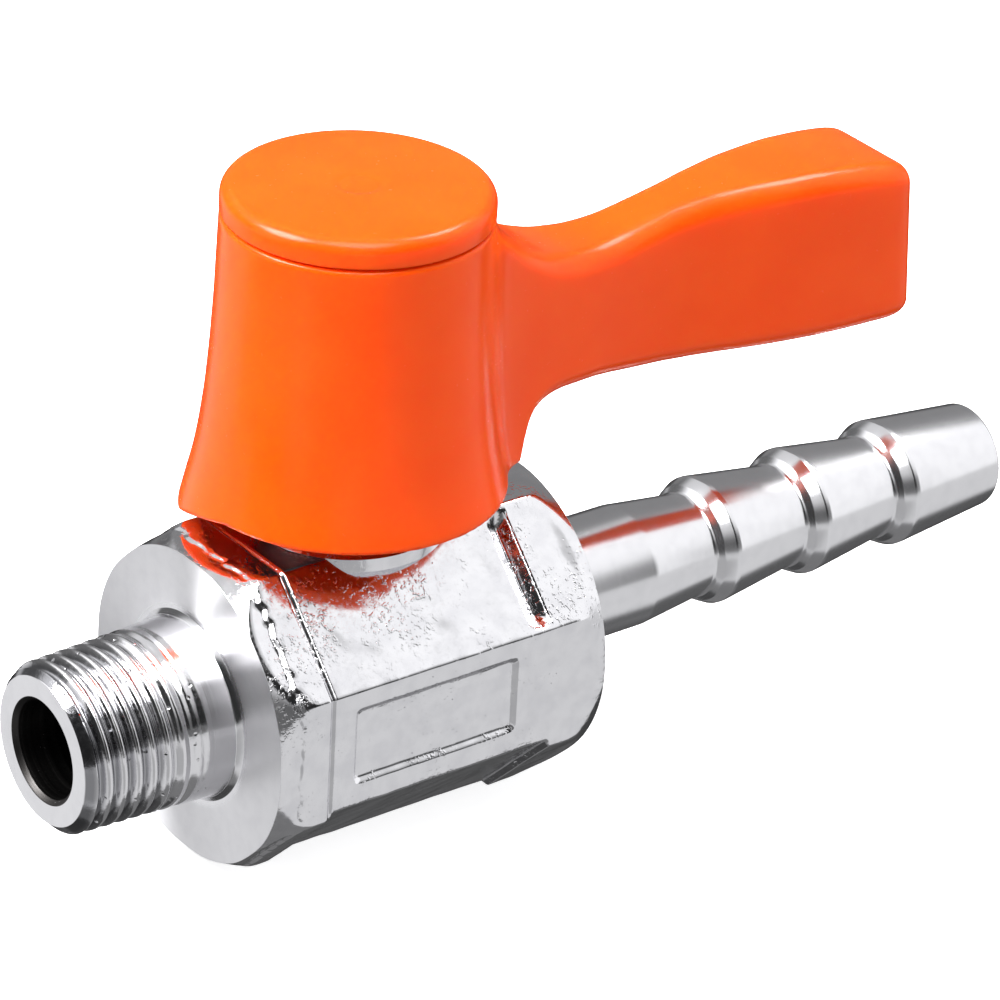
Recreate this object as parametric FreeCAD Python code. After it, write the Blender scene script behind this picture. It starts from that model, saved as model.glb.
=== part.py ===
import FreeCAD, Part
import math
import os

Vector = FreeCAD.Vector

# Mini ball valve, R 1/8 taper male thread to 6 mm hose barb, lever open.
# Millimetres. X runs along the flow, from the threaded end (-X) to the hose barb (+X).
# Z points up the stem to the lever. The origin is the centre of the inlet shoulder face.

X_AXIS = Vector(1, 0, 0)
Z_AXIS = Vector(0, 0, 1)
ORIGIN = Vector(0, 0, 0)

# Clearances
RUNNING_GAP = 0.05      # radial, between turning and still pieces
SEATING_GAP = 0.03      # between pieces that are clamped or pressed together
THREAD_GAP = 0.05       # flank to flank in the screwed end joint
OVERLAP = 1.0           # how far a fused or cutting solid runs into or past its neighbour

# Forged body
ACROSS_FLATS = 18.0
HALF_FLATS = ACROSS_FLATS / 2
CORNER_RADIUS = HALF_FLATS / math.cos(math.pi / 8)
HALF_SIDE = HALF_FLATS * math.tan(math.pi / 8)
BODY_LENGTH = 21.5
INLET_COLLAR_END = 3.2      # where the inlet collar meets the middle of the body
OUTLET_COLLAR_START = 17.9
SHOULDER_RADIUS = 8.9       # turned circle on each end face
CHAMFER_LENGTH = 1.8        # turned chamfer from that circle out to the octagon's corners
LOWER_INSET = 0.35          # the middle's lower flats lie this far inside the collars'
CREASE_WIDTH = 0.3
CREASE_DEPTH = 0.15
NOTCH_START = 16.45         # forged notch in each upper slanted flat
NOTCH_WIDTH = 1.4
NOTCH_DEPTH = 0.85

# Recessed name panel, left blank, on both side flats
PANEL_START = 4.6
PANEL_END = 15.5
PANEL_TOP = 2.75
PANEL_BOTTOM = -2.05
PANEL_DEPTH = 0.25
PANEL_CORNER = 0.5

# Male taper pipe thread, R 1/8 (ISO 7-1)
INLET_LENGTH = 9.2
GAUGE_RADIUS = 9.728 / 2    # over the crests, at the gauge plane
GAUGE_PLANE = -INLET_LENGTH + 4.0
TAPER = 1 / 16              # on the diameter
THREAD_PITCH = 0.907
THREAD_DEPTH = 0.581
THREAD_CREST = 0.2          # crest and root lands, along the axis
GROOVES_BEFORE_GAUGE = 4
GROOVES_AFTER_GAUGE = 4
THREAD_CHAMFER = 0.51
END_FACE_RADIUS = 4.17
NECK_RADIUS = 5.05
NECK_FILLET = 0.3

# Flow passage
INLET_BORE = 2.75
BORE_CHAMFER = 0.25
OUTLET_BORE = 2.0
CHAMBER_RADIUS = 5.5
CHAMBER_START = 4.55
CHAMBER_END = 16.0

# Ball, seats and stem
STEM_X = 10.0
BALL_RADIUS = 5.0
BALL_BORE = 2.5
SLOT_WIDTH = 1.9
SLOT_FLOOR = 3.6
SEAT_THICKNESS = 2.4
SEAT_OUTER = CHAMBER_RADIUS - RUNNING_GAP
SEAT_INNER = 2.95
SEAT_TO_CENTRE = 5.4        # back of each seat to the ball's centre
TANG_THICKNESS = 1.8
TANG_WIDTH = 5.0
COLLAR_RADIUS = 4.0
COLLAR_BOTTOM = 5.6
COLLAR_TOP = 6.7
POCKET_RADIUS = COLLAR_RADIUS + 2 * RUNNING_GAP
POCKET_TOP = 7.4
WASHER_THICKNESS = 0.6
STEM_RADIUS = 3.0
STEM_HOLE = STEM_RADIUS + RUNNING_GAP
BOSS_RADIUS = 4.9
BOSS_TOP = 14.0
RING_GROOVE_FLOOR = 2.15
RING_GROOVE_WIDTH = 1.3
RING_LEVELS = {"stem_o_ring_lower": 9.3, "stem_o_ring_upper": 11.9}
RING_SECTION = 0.43         # radius of the stem rings' cord
STEM_SHAFT_TOP = 14.25
STEM_SQUARE = 4.2           # across the flats of the driving square
STEM_SQUARE_CORNERS = 2.8   # radius the square's corners are turned to
STEM_TOP = 22.3
TAPPED_HOLE_BOTTOM = 15.0

# Screwed hose end
END_THREAD_RADIUS = 6.9
END_THREAD_DEPTH = 0.5
END_THREAD_CREST = 0.25
END_THREAD_PITCH = 1.0
END_THREAD_START = 16.4
END_THREAD_TURNS = 3
END_NOSE = STEM_X + SEAT_TO_CENTRE + SEATING_GAP
END_NOSE_RADIUS = 5.3
END_NOSE_BORE_DEPTH = 2.0   # wide mouth of the outlet bore, then a cone down to it
END_NOSE_CONE = 1.0
END_RELIEF_RADIUS = 6.2
END_RING_SPACE = 1.2        # length of the sealing ring's groove
END_RING_RADIUS = 6.75
END_RING_SECTION = 0.5
COUNTERBORE_RADIUS = 7.3
END_SHOULDER_RADIUS = 7.9
END_SHOULDER_THICKNESS = 0.7
END_SHOULDER_FLATS = 14.6   # two spanner flats on the shoulder
SHANK_RADIUS = 3.55
SHANK_END = 29.4
VALLEY_RADIUS = 3.0
BARB_RADIUS = 3.75
BARB_CREST = 0.3            # length of each crest's cylindrical land
BARB_RISE = 1.0
BARB_KNEE = (0.25, 0.6)     # bend in the rise, as shares of its length and height
FIRST_BARB = 34.0
BARB_SPACING = 6.65
BARB_COUNT = 3
TIP_END = 55.3
TIP_RADIUS = 3.1
TIP_ROUND = 0.3

# Lever handle
SKIRT_BOTTOM = 10.85
TAB_BOTTOM = 9.15           # lower edge of the tab that dips beside the body's top flat
TAB_MIDDLE = 130.0          # degrees round the stem axis
TAB_HALF_WIDTHS = (3.2, 7.1)    # at the tab's lower edge and at the skirt's edge
HUB_TOP = 26.9
HUB_OUTLINE = [(9.15, 9.15), (8.73, 10.9), (8.2, 13.6), (7.72, 17.5), (7.45, 22.0), (7.3, 26.9)]
SKIRT_WALL = 1.3
SKIRT_CEILING = 20.0
HUB_FLOOR = 22.5
RECESS_RADIUS = 6.1
SOCKET_RADIUS = 4.3
SOCKET_BOTTOM = STEM_SHAFT_TOP + 0.1
LEVER_END = 46.9
LEVER_LEAN = 0.6            # the end face leans in by this much towards its top
LEVER_ROUND = 0.8
LEVER_ROOT = 13.0           # where the paddle begins, inside the hub
ROUNDED_FROM = 22.3         # the lever's edges are rounded beyond this x

# Travel stops: one lug inside the skirt runs between two lugs cast on the body
LUG_CENTRE = 180.0
LUG_HALF_ANGLE = 20.0
STOP_WIDTH = 22.0
STOP_GAP = 1.0
TRAVEL = 90.0
STOP_TOP = 12.6
STOP_BOTTOM = 10.9
STOP_RADIUS = 6.3
LUG_BOTTOM = 11.3
LUG_INNER = BOSS_RADIUS + 0.55

# Lever screw, washer and cap
SCREW_RADIUS = 1.5
SCREW_HOLE = SCREW_RADIUS + SEATING_GAP
SCREW_HEAD_RADIUS = 2.75
SCREW_HEAD_HEIGHT = 1.9
SCREW_TIP = 15.6
SCREW_POINT = 0.4
SCREW_DOME = 0.5
CROSS_WIDTH = 0.7
CROSS_LENGTH = 3.0
CROSS_DEPTH = 1.1
LOCK_WASHER_RADIUS = 3.1
LOCK_WASHER_THICKNESS = 0.7
LOCK_WASHER_SPLIT = 0.5
CAP_RADIUS = 7.3
CAP_THICKNESS = 1.5
CAP_ROUND = 0.9
CAP_SKIRT_WALL = 0.9
CAP_SKIRT_DEPTH = 1.8
GATE_MARK_RADIUS = 1.1
GATE_MARK_DEPTH = 0.08


def turned(profile, at_x=0.0):
    """A solid of revolution about the flow axis; profile is (x, radius) points around its section."""
    points = [Vector(x + at_x, 0, r) for x, r in profile]
    wire = Part.makePolygon(points + points[:1])
    return Part.Face(wire).revolve(ORIGIN, X_AXIS, 360)


def turned_upright(profile):
    """A solid of revolution about the stem axis; profile is (radius, z) points around its section."""
    points = [Vector(STEM_X + r, 0, z) for r, z in profile]
    wire = Part.makePolygon(points + points[:1])
    return Part.Face(wire).revolve(Vector(STEM_X, 0, 0), Z_AXIS, 360)


def upright_cylinder(radius, bottom, top):
    return Part.makeCylinder(radius, top - bottom, Vector(STEM_X, 0, bottom), Z_AXIS)


def upright_sector(outer, inner, bottom, top, start, sweep):
    """A ring sector about the stem axis, from the angle start over sweep degrees."""
    radii_and_levels = [(inner, bottom), (outer, bottom), (outer, top), (inner, top)]
    points = [Vector(STEM_X + r, 0, z) for r, z in radii_and_levels]
    face = Part.Face(Part.makePolygon(points + points[:1]))
    face.rotate(Vector(STEM_X, 0, 0), Z_AXIS, start)
    return face.revolve(Vector(STEM_X, 0, 0), Z_AXIS, sweep)


def centred_box(x_size, y_size, bottom, top):
    corner = Vector(STEM_X - x_size / 2, -y_size / 2, bottom)
    return Part.makeBox(x_size, y_size, top - bottom, corner)


def groove_points(middle, pitch, before, depth, after, crest):
    """One annular thread groove, as (x, radius) points; before and after are the crests beside it."""
    half_root = crest / 2
    half_mouth = (pitch - crest) / 2
    root = (before + after) / 2 - depth
    return [
        (middle - half_mouth, before),
        (middle - half_root, root),
        (middle + half_root, root),
        (middle + half_mouth, after),
    ]


def octagon_bar(start, end, inset):
    """An octagonal bar along the flow axis; its three lower flats lie inset further in."""
    slant = HALF_SIDE - inset * (math.sqrt(2) - 1)
    side_low = -HALF_SIDE + inset * math.sqrt(2)
    half = [
        (HALF_SIDE, HALF_FLATS),
        (HALF_FLATS, HALF_SIDE),
        (HALF_FLATS, side_low),
        (slant, -HALF_FLATS + inset),
    ]
    outline = half + [(-y, z) for y, z in reversed(half)]
    points = [Vector(start, y, z) for y, z in outline]
    face = Part.Face(Part.makePolygon(points + points[:1]))
    return face.extrude(Vector(end - start, 0, 0))


def turned_envelope():
    """What the lathe leaves of the forging: a chamfer at each end and behind the inlet collar."""
    outside = CORNER_RADIUS + OVERLAP
    return turned([
        (0, 0),
        (0, SHOULDER_RADIUS),
        (CHAMFER_LENGTH, CORNER_RADIUS),
        (CHAMFER_LENGTH, outside),
        (BODY_LENGTH - CHAMFER_LENGTH, outside),
        (BODY_LENGTH - CHAMFER_LENGTH, CORNER_RADIUS),
        (BODY_LENGTH, SHOULDER_RADIUS),
        (BODY_LENGTH, 0),
    ])


def name_panel():
    """The blank recess for one side flat, at its +Y place."""
    length = PANEL_END - PANEL_START
    height = PANEL_TOP - PANEL_BOTTOM
    corner = Vector(PANEL_START, HALF_FLATS - PANEL_DEPTH, PANEL_BOTTOM)
    block = Part.makeBox(length, 2 * PANEL_DEPTH, height, corner)
    upright = [e for e in block.Edges if abs(e.tangentAt(e.FirstParameter).y) > 0.9]
    return block.makeFillet(PANEL_CORNER, upright)


def slanted_notch():
    """The V notch across the upper slanted flat on the +Y side."""
    middle = NOTCH_START + NOTCH_WIDTH / 2
    points = [
        Vector(NOTCH_START, 0, HALF_FLATS),
        Vector(middle, 0, HALF_FLATS - NOTCH_DEPTH),
        Vector(NOTCH_START + NOTCH_WIDTH, 0, HALF_FLATS),
        Vector(NOTCH_START + NOTCH_WIDTH, 0, HALF_FLATS + OVERLAP),
        Vector(NOTCH_START, 0, HALF_FLATS + OVERLAP),
    ]
    face = Part.Face(Part.makePolygon(points + points[:1]))
    face.translate(Vector(0, -HALF_SIDE, 0))
    notch = face.extrude(Vector(0, 2 * HALF_SIDE, 0))
    notch.rotate(ORIGIN, X_AXIS, -45)
    return notch


def crease():
    """The shallow groove between the inlet collar and the middle of the body."""
    middle = INLET_COLLAR_END
    outside = CORNER_RADIUS + OVERLAP
    bottom = HALF_FLATS - CREASE_DEPTH
    ring = octagon_bar(middle - CREASE_WIDTH / 2, middle + CREASE_WIDTH / 2, -outside)
    core = octagon_bar(middle - CREASE_WIDTH, middle + CREASE_WIDTH, 0)
    core.scale(bottom / HALF_FLATS, Vector(middle, 0, 0))
    return ring.cut(core)


def taper_thread():
    """The inlet thread as rings whose crests grow along the taper; one crest lies on the gauge plane."""
    step = THREAD_PITCH * TAPER / 2
    points = []
    for turn in range(-GROOVES_BEFORE_GAUGE, GROOVES_AFTER_GAUGE):
        middle = GAUGE_PLANE + (turn + 0.5) * THREAD_PITCH
        before = GAUGE_RADIUS + turn * step
        after = before + step
        points += groove_points(middle, THREAD_PITCH, before, THREAD_DEPTH, after, THREAD_CREST)
    return points


def inlet_spigot():
    """The threaded inlet, from its chamfered end to the shoulder face."""
    start = -INLET_LENGTH
    chamfer_end = (start + THREAD_CHAMFER, END_FACE_RADIUS + THREAD_CHAMFER)
    thread = taper_thread()[1:]     # the end chamfer cuts off the first groove's near edge
    thread_end = thread[-1][0]
    return turned(
        [(start, 0), (start, END_FACE_RADIUS), chamfer_end]
        + thread
        + [
            (thread_end + THREAD_CREST, NECK_RADIUS),
            (-NECK_FILLET, NECK_RADIUS),
            (0, NECK_RADIUS + NECK_FILLET),
            (OVERLAP, NECK_RADIUS + NECK_FILLET),
            (OVERLAP, 0),
        ]
    )


def end_thread(gap):
    """The screwed end joint's thread form, opened by gap for the female side."""
    crest = END_THREAD_RADIUS + gap
    points = []
    for turn in range(END_THREAD_TURNS):
        middle = END_THREAD_START + (turn + 0.5) * END_THREAD_PITCH
        points += groove_points(
            middle, END_THREAD_PITCH, crest, END_THREAD_DEPTH, crest, END_THREAD_CREST
        )
    return points


def body_stops():
    """The two cast lugs that end the lever's travel."""
    open_stop = LUG_CENTRE + LUG_HALF_ANGLE + STOP_GAP
    closed_stop = LUG_CENTRE - TRAVEL - LUG_HALF_ANGLE - STOP_GAP - STOP_WIDTH
    sink = 0.5
    return [
        upright_sector(STOP_RADIUS, BOSS_RADIUS - sink, STOP_BOTTOM, STOP_TOP, angle, STOP_WIDTH)
        for angle in (open_stop, closed_stop)
    ]


def body_cavity():
    """Everything bored out of the body: flow bore, ball chamber, end thread and stem hole."""
    bore = turned([
        (-INLET_LENGTH - OVERLAP, 0),
        (-INLET_LENGTH - OVERLAP, INLET_BORE + BORE_CHAMFER + OVERLAP),
        (-INLET_LENGTH, INLET_BORE + BORE_CHAMFER),
        (-INLET_LENGTH + BORE_CHAMFER, INLET_BORE),
        (CHAMBER_START, INLET_BORE),
        (CHAMBER_START, CHAMBER_RADIUS),
        (CHAMBER_END, CHAMBER_RADIUS),
        (CHAMBER_END, END_THREAD_RADIUS + THREAD_GAP),
    ] + end_thread(THREAD_GAP) + [
        (BODY_LENGTH - END_RING_SPACE, END_THREAD_RADIUS + THREAD_GAP),
        (BODY_LENGTH - END_RING_SPACE, COUNTERBORE_RADIUS),
        (BODY_LENGTH + OVERLAP, COUNTERBORE_RADIUS),
        (BODY_LENGTH + OVERLAP, 0),
    ])
    pocket = upright_cylinder(POCKET_RADIUS, 0, POCKET_TOP)
    stem_hole = upright_cylinder(STEM_HOLE, 0, BOSS_TOP + OVERLAP)
    return bore.fuse([pocket, stem_hole])


def valve_body():
    forging = octagon_bar(0, INLET_COLLAR_END, 0).fuse([
        octagon_bar(INLET_COLLAR_END, OUTLET_COLLAR_START, LOWER_INSET),
        octagon_bar(OUTLET_COLLAR_START, BODY_LENGTH, 0),
    ])
    body = forging.common(turned_envelope())
    panel = name_panel()
    notch = slanted_notch()
    mirror = Vector(0, 1, 0)
    body = body.cut([panel, panel.mirror(ORIGIN, mirror), notch, notch.mirror(ORIGIN, mirror), crease()])
    boss = upright_cylinder(BOSS_RADIUS, HALF_FLATS - OVERLAP, BOSS_TOP)
    body = body.fuse([inlet_spigot(), boss] + body_stops())
    return body.cut(body_cavity()).removeSplitter()


def barb_points():
    """The hose barbs' outline: each rises steeply to a crest land and falls towards the tip."""
    knee_along, knee_up = BARB_KNEE
    knee_radius = VALLEY_RADIUS + knee_up * (BARB_RADIUS - VALLEY_RADIUS)
    points = []
    for barb in range(BARB_COUNT):
        foot = FIRST_BARB + barb * BARB_SPACING
        crest = foot + BARB_RISE
        points.append((foot, VALLEY_RADIUS))
        points.append((foot + knee_along * BARB_RISE, knee_radius))
        points.append((crest, BARB_RADIUS))
        points.append((crest + BARB_CREST, BARB_RADIUS))
    return points


def hose_end():
    """The screwed end: nose, thread, sealing relief, shoulder, shank and barbs."""
    face = BODY_LENGTH + SEATING_GAP
    relief_start = BODY_LENGTH - END_RING_SPACE
    shoulder_end = face + END_SHOULDER_THICKNESS
    solid = turned([
        (END_NOSE, 0),
        (END_NOSE, END_NOSE_RADIUS),
        (CHAMBER_END, END_NOSE_RADIUS),
    ] + end_thread(0) + [
        (relief_start, END_THREAD_RADIUS),
        (relief_start, END_RELIEF_RADIUS),
        (face, END_RELIEF_RADIUS),
        (face, END_SHOULDER_RADIUS),
        (shoulder_end, END_SHOULDER_RADIUS),
        (shoulder_end, SHANK_RADIUS),
        (SHANK_END, SHANK_RADIUS),
    ] + barb_points() + [
        (TIP_END - TIP_ROUND, TIP_RADIUS),
        (TIP_END, TIP_RADIUS - TIP_ROUND),
        (TIP_END, 0),
    ])
    cone_start = END_NOSE + END_NOSE_BORE_DEPTH
    bore = turned([
        (END_NOSE - OVERLAP, 0),
        (END_NOSE - OVERLAP, SEAT_INNER),
        (cone_start, SEAT_INNER),
        (cone_start + END_NOSE_CONE, OUTLET_BORE),
        (TIP_END - BORE_CHAMFER, OUTLET_BORE),
        (TIP_END, OUTLET_BORE + BORE_CHAMFER),
        (TIP_END + OVERLAP, OUTLET_BORE + BORE_CHAMFER + OVERLAP),
        (TIP_END + OVERLAP, 0),
    ])
    width = 2 * END_SHOULDER_RADIUS
    half_flats = END_SHOULDER_FLATS / 2
    flat_waste = []
    for low in (half_flats, -half_flats - width):
        corner = Vector(face, -width / 2, low)
        flat_waste.append(Part.makeBox(END_SHOULDER_THICKNESS, width, width, corner))
    return solid.cut([bore] + flat_waste)


def end_joint_o_ring():
    centre = Vector(BODY_LENGTH - END_RING_SPACE / 2, 0, 0)
    return Part.makeTorus(END_RING_RADIUS, END_RING_SECTION, centre, X_AXIS)


def ball():
    sphere = Part.makeSphere(BALL_RADIUS, Vector(STEM_X, 0, 0))
    bore = Part.makeCylinder(BALL_BORE, 4 * BALL_RADIUS, Vector(STEM_X - 2 * BALL_RADIUS, 0, 0), X_AXIS)
    slot = centred_box(SLOT_WIDTH, 4 * BALL_RADIUS, SLOT_FLOOR, 2 * BALL_RADIUS)
    return sphere.cut([bore, slot])


def seat_ring(side):
    """A seat with a spherical face; side is -1 at the inlet and +1 at the outlet."""
    back = STEM_X + side * SEAT_TO_CENTRE
    front = back - side * SEAT_THICKNESS
    ring = turned([(back, SEAT_INNER), (back, SEAT_OUTER), (front, SEAT_OUTER), (front, SEAT_INNER)])
    return ring.cut(Part.makeSphere(BALL_RADIUS + RUNNING_GAP, Vector(STEM_X, 0, 0)))


def stem():
    tang = centred_box(TANG_THICKNESS, TANG_WIDTH, SLOT_FLOOR + RUNNING_GAP, COLLAR_BOTTOM)
    shaft_outline = [(0, COLLAR_BOTTOM), (COLLAR_RADIUS, COLLAR_BOTTOM), (COLLAR_RADIUS, COLLAR_TOP)]
    shaft_outline.append((STEM_RADIUS, COLLAR_TOP))
    for level in sorted(RING_LEVELS.values()):
        low = level - RING_GROOVE_WIDTH / 2
        high = level + RING_GROOVE_WIDTH / 2
        shaft_outline += [(STEM_RADIUS, low), (RING_GROOVE_FLOOR, low)]
        shaft_outline += [(RING_GROOVE_FLOOR, high), (STEM_RADIUS, high)]
    shaft_outline += [(STEM_RADIUS, STEM_SHAFT_TOP), (0, STEM_SHAFT_TOP)]
    square = centred_box(STEM_SQUARE, STEM_SQUARE, STEM_SHAFT_TOP, STEM_TOP)
    drive = square.common(upright_cylinder(STEM_SQUARE_CORNERS, STEM_SHAFT_TOP, STEM_TOP))
    tapped_hole = upright_cylinder(SCREW_HOLE, TAPPED_HOLE_BOTTOM, STEM_TOP)
    return turned_upright(shaft_outline).fuse([tang, drive]).cut(tapped_hole)


def stem_thrust_washer():
    top = POCKET_TOP - SEATING_GAP
    bottom = top - WASHER_THICKNESS
    outer = upright_cylinder(POCKET_RADIUS - RUNNING_GAP, bottom, top)
    return outer.cut(upright_cylinder(STEM_RADIUS + 2 * RUNNING_GAP, bottom, top))


def stem_o_ring(level):
    radius = STEM_RADIUS - RING_SECTION + RUNNING_GAP / 2
    return Part.makeTorus(radius, RING_SECTION, Vector(STEM_X, 0, level), Z_AXIS)


def hub_shell():
    """The flared hub, solid, from the skirt's edge to the cap's seat."""
    points = [Vector(STEM_X + r, 0, z) for r, z in HUB_OUTLINE]
    curve = Part.BSplineCurve()
    curve.interpolate(points)
    axis_bottom = Vector(STEM_X, 0, TAB_BOTTOM)
    axis_top = Vector(STEM_X, 0, HUB_TOP)
    edges = [
        Part.makeLine(axis_bottom, points[0]),
        curve.toShape(),
        Part.makeLine(points[-1], axis_top),
        Part.makeLine(axis_top, axis_bottom),
    ]
    return Part.Face(Part.Wire(edges)).revolve(Vector(STEM_X, 0, 0), Z_AXIS, 360)


def space_under_skirt():
    """What is cut away below the skirt's edge, leaving the tab that dips on one side."""
    reach = 2 * HUB_OUTLINE[0][0] + OVERLAP
    below = TAB_BOTTOM - OVERLAP
    above = SKIRT_BOTTOM + OVERLAP
    low, high = TAB_HALF_WIDTHS
    half = [(high, above), (high, SKIRT_BOTTOM), (low, TAB_BOTTOM), (low, below - OVERLAP)]
    outline = half + [(-y, z) for y, z in reversed(half)]
    points = [Vector(STEM_X, y, z) for y, z in outline]
    tab = Part.Face(Part.makePolygon(points + points[:1])).extrude(Vector(reach, 0, 0))
    tab.rotate(Vector(STEM_X, 0, 0), Z_AXIS, TAB_MIDDLE)
    return centred_box(reach, reach, below, SKIRT_BOTTOM).cut(tab)


def smooth_edge(points):
    curve = Part.BSplineCurve()
    curve.interpolate(points)
    return curve.toShape()


def lever_side_slab():
    """The lever seen from the side, as a slab wider than the lever."""
    half = HALF_FLATS
    y = Vector(0, -half, 0)
    top = [(17.0, 24.9), (18.4, 23.2), (21.4, 22.1), (25.0, 21.87), (30.0, 22.58)]
    top += [(35.0, 23.1), (40.0, 23.05), (LEVER_END - LEVER_LEAN, 22.2)]
    bottom = [(LEVER_END, 12.7), (40.0, 12.85), (33.0, 13.1), (24.5, 13.95), (20.9, 13.3)]
    bottom += [(19.05, SKIRT_BOTTOM)]
    top_points = [Vector(x, 0, z) + y for x, z in top]
    bottom_points = [Vector(x, 0, z) + y for x, z in bottom]
    inner_low = Vector(LEVER_ROOT, 0, SKIRT_BOTTOM) + y
    inner_high = Vector(LEVER_ROOT, 0, top[0][1]) + y
    edges = [
        Part.makeLine(inner_high, top_points[0]),
        smooth_edge(top_points),
        Part.makeLine(top_points[-1], bottom_points[0]),
        smooth_edge(bottom_points),
        Part.makeLine(bottom_points[-1], inner_low),
        Part.makeLine(inner_low, inner_high),
    ]
    return Part.Face(Part.Wire(edges)).extrude(Vector(0, 2 * half, 0))


def lever_plan_slab():
    """The lever seen from above, waisted behind the hub, as a slab taller than the lever."""
    bottom = SKIRT_BOTTOM - OVERLAP
    height = HUB_TOP - bottom
    outline = [(LEVER_ROOT, 5.4), (16.0, 4.4), (19.0, 3.4), (22.0, 2.97), (26.0, 2.35), (30.0, 2.15)]
    outline += [(33.0, 2.45), (37.0, 3.15), (42.0, 3.6), (LEVER_END, 3.68)]
    far = [Vector(x, w, bottom) for x, w in outline]
    near = [Vector(x, -w, bottom) for x, w in outline]
    edges = [
        smooth_edge(far),
        Part.makeLine(far[-1], near[-1]),
        smooth_edge(near[::-1]),
        Part.makeLine(near[0], far[0]),
    ]
    return Part.Face(Part.Wire(edges)).extrude(Vector(0, 0, height))


def lever_paddle():
    paddle = lever_side_slab().common(lever_plan_slab())
    rim = [e for e in paddle.Edges if e.BoundBox.XMin > ROUNDED_FROM]
    return paddle.makeFillet(LEVER_ROUND, rim)


def lever_handle():
    """Hub with lever, hollow skirt, square socket, screw recess and stop lug."""
    solid = hub_shell().cut(space_under_skirt()).fuse(lever_paddle())
    mouth_radius = HUB_OUTLINE[0][0] - SKIRT_WALL
    waist_radius, waist_level = HUB_OUTLINE[3]
    hollow = turned_upright([
        (0, TAB_BOTTOM - OVERLAP),
        (mouth_radius, TAB_BOTTOM - OVERLAP),
        (mouth_radius, TAB_BOTTOM),
        (waist_radius - SKIRT_WALL, waist_level),
        (waist_radius - SKIRT_WALL, SKIRT_CEILING),
        (0, SKIRT_CEILING),
    ])
    recess = upright_cylinder(RECESS_RADIUS, HUB_FLOOR, HUB_TOP + OVERLAP)
    screw_way = upright_cylinder(SCREW_HOLE + 2 * RUNNING_GAP, SKIRT_CEILING, HUB_FLOOR)
    socket = upright_cylinder(SOCKET_RADIUS, SOCKET_BOTTOM, SKIRT_CEILING)
    square = STEM_SQUARE + 2 * SEATING_GAP
    square_hole = centred_box(square, square, SOCKET_BOTTOM - OVERLAP, STEM_TOP + RUNNING_GAP)
    lug = upright_sector(
        waist_radius - SKIRT_WALL / 2,
        LUG_INNER,
        LUG_BOTTOM,
        SKIRT_CEILING,
        LUG_CENTRE - LUG_HALF_ANGLE,
        2 * LUG_HALF_ANGLE,
    )
    return solid.cut([hollow, recess]).fuse([socket, lug]).cut([square_hole, screw_way])


def screw_lock_washer():
    """A split spring washer, flat under the screw's load."""
    bottom = HUB_FLOOR + SEATING_GAP
    top = bottom + LOCK_WASHER_THICKNESS
    ring = upright_cylinder(LOCK_WASHER_RADIUS, bottom, top)
    hole = upright_cylinder(SCREW_HOLE + 2 * RUNNING_GAP, bottom, top)
    corner = Vector(STEM_X, -LOCK_WASHER_SPLIT / 2, bottom)
    split = Part.makeBox(2 * LOCK_WASHER_RADIUS, LOCK_WASHER_SPLIT, LOCK_WASHER_THICKNESS, corner)
    return ring.cut([hole, split])


def handle_screw():
    """An M3 pan head screw with a cross recess."""
    head_bottom = HUB_FLOOR + LOCK_WASHER_THICKNESS + 2 * SEATING_GAP
    head_top = head_bottom + SCREW_HEAD_HEIGHT
    screw = turned_upright([
        (0, SCREW_TIP),
        (SCREW_RADIUS - SCREW_POINT, SCREW_TIP),
        (SCREW_RADIUS, SCREW_TIP + SCREW_POINT),
        (SCREW_RADIUS, head_bottom),
        (SCREW_HEAD_RADIUS, head_bottom),
        (SCREW_HEAD_RADIUS, head_top - 2 * SCREW_DOME),
        (SCREW_HEAD_RADIUS - SCREW_DOME, head_top - SCREW_DOME / 2),
        (SCREW_HEAD_RADIUS - 2 * SCREW_DOME, head_top),
        (0, head_top),
    ])
    floor = head_top - CROSS_DEPTH
    cross = [
        centred_box(CROSS_LENGTH, CROSS_WIDTH, floor, head_top + OVERLAP),
        centred_box(CROSS_WIDTH, CROSS_LENGTH, floor, head_top + OVERLAP),
    ]
    return screw.cut(cross)


def lever_cap():
    """The round snap cap that closes the screw recess."""
    bottom = HUB_TOP + SEATING_GAP
    top = bottom + CAP_THICKNESS
    disc = upright_cylinder(CAP_RADIUS, bottom, top)
    rim = [e for e in disc.Edges if e.BoundBox.ZMin > bottom + CAP_THICKNESS / 2]
    disc = disc.makeFillet(CAP_ROUND, rim)
    outer = RECESS_RADIUS - SEATING_GAP
    skirt = upright_cylinder(outer, bottom - CAP_SKIRT_DEPTH, bottom)
    skirt = skirt.cut(upright_cylinder(outer - CAP_SKIRT_WALL, bottom - CAP_SKIRT_DEPTH, bottom))
    gate_mark = upright_cylinder(GATE_MARK_RADIUS, top - GATE_MARK_DEPTH, top + OVERLAP)
    return disc.fuse(skirt).cut(gate_mark)


NODES = {
    "valve_body": valve_body,
    "hose_end": hose_end,
    "end_joint_o_ring": end_joint_o_ring,
    "ball": ball,
    "seat_ring_inlet": lambda: seat_ring(-1),
    "seat_ring_outlet": lambda: seat_ring(1),
    "stem": stem,
    "stem_thrust_washer": stem_thrust_washer,
    "lever_handle": lever_handle,
    "handle_screw": handle_screw,
    "screw_lock_washer": screw_lock_washer,
    "lever_cap": lever_cap,
}
for ring_name, ring_level in RING_LEVELS.items():
    NODES[ring_name] = lambda level=ring_level: stem_o_ring(level)

os.makedirs("parts", exist_ok=True)
for node, make in NODES.items():
    shape = make()
    shape.exportStep(os.path.join("parts", node + ".step"))
    print(node, len(shape.Solids), round(shape.Volume, 1), shape.isValid())
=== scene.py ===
import math

import bpy
import numpy as np
from mathutils import Matrix, Vector


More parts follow.
